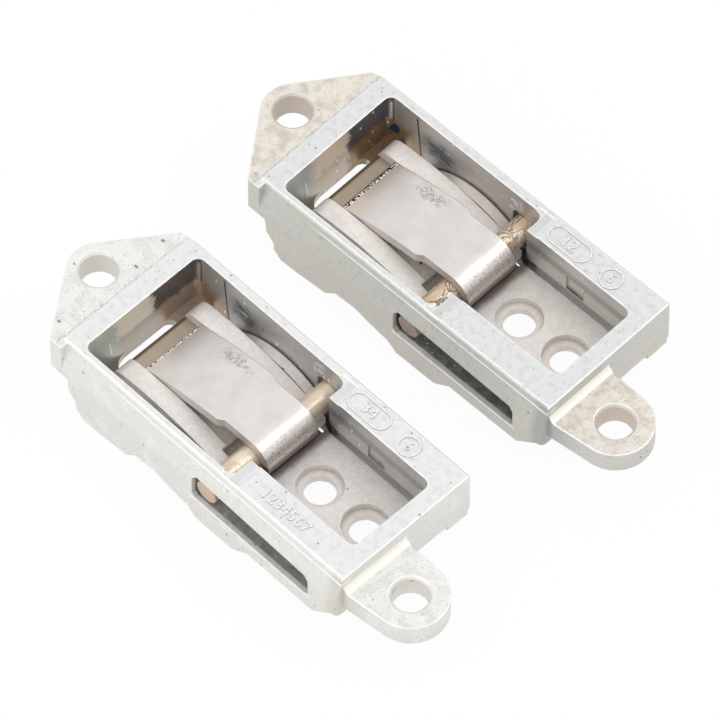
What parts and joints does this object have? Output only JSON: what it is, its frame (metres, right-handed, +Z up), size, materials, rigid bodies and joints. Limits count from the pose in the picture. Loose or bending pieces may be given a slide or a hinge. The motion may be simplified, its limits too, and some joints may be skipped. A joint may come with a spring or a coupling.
{
  "type": "pair of tablet hinges",
  "caption": "Two alike die-cast housings, each with a bowed band spring on a cross pin pressing a curved-slot two-stage friction hinge and its screw plate.",
  "frame": {"origin": "middle of the pair's footprint, on the surface that both hinges lie on", "axes": "+X from the pointed flanges to the round lugs, +Y from hinge b to hinge a, +Z up out of the windows"},
  "size_m": [0.0286, 0.0242, 0.0051],
  "materials": {
    "cast_metal": "matte die-cast zinc alloy with fine pits",
    "pin_steel": "drawn steel pin under a film of yellowish grease",
    "spring_steel": "satin rolled spring steel",
    "sintered_steel": "pinkish grey sintered steel with fine grain"
  },
  "bodies": {
    "housings": {"housing_a": "cast_metal", "spring_pin_a": "pin_steel", "band_spring_a": "spring_steel", "pressure_frame_a": "sintered_steel", "housing_b": "cast_metal", "spring_pin_b": "pin_steel", "band_spring_b": "spring_steel", "pressure_frame_b": "sintered_steel"},
    "support_arm_a": {"support_arm_a": "sintered_steel"},
    "attachment_plate_a": {"attachment_plate_a": "sintered_steel"},
    "support_arm_b": {"support_arm_b": "sintered_steel"},
    "attachment_plate_b": {"attachment_plate_b": "sintered_steel"}
  },
  "joints": [
    {"name": "support_arm_a_swing", "type": "hinge", "parent": "housings", "child": "support_arm_a", "pos_m": [-0.00317, 0.00745, -0.0018], "axis": [0, 1, 0], "range_deg": [0, 90]},
    {"name": "attachment_plate_a_swing", "type": "hinge", "parent": "support_arm_a", "child": "attachment_plate_a", "pos_m": [-0.00317, 0.00745, -0.0018], "axis": [0, 1, 0], "range_deg": [0, 75]},
    {"name": "support_arm_b_swing", "type": "hinge", "parent": "housings", "child": "support_arm_b", "pos_m": [-0.00337, -0.00683, -0.0018], "axis": [0.0288, 0.9996, 0], "range_deg": [0, 90]},
    {"name": "attachment_plate_b_swing", "type": "hinge", "parent": "support_arm_b", "child": "attachment_plate_b", "pos_m": [-0.00337, -0.00683, -0.0018], "axis": [0.0288, 0.9996, 0], "range_deg": [0, 75]}
  ]
}
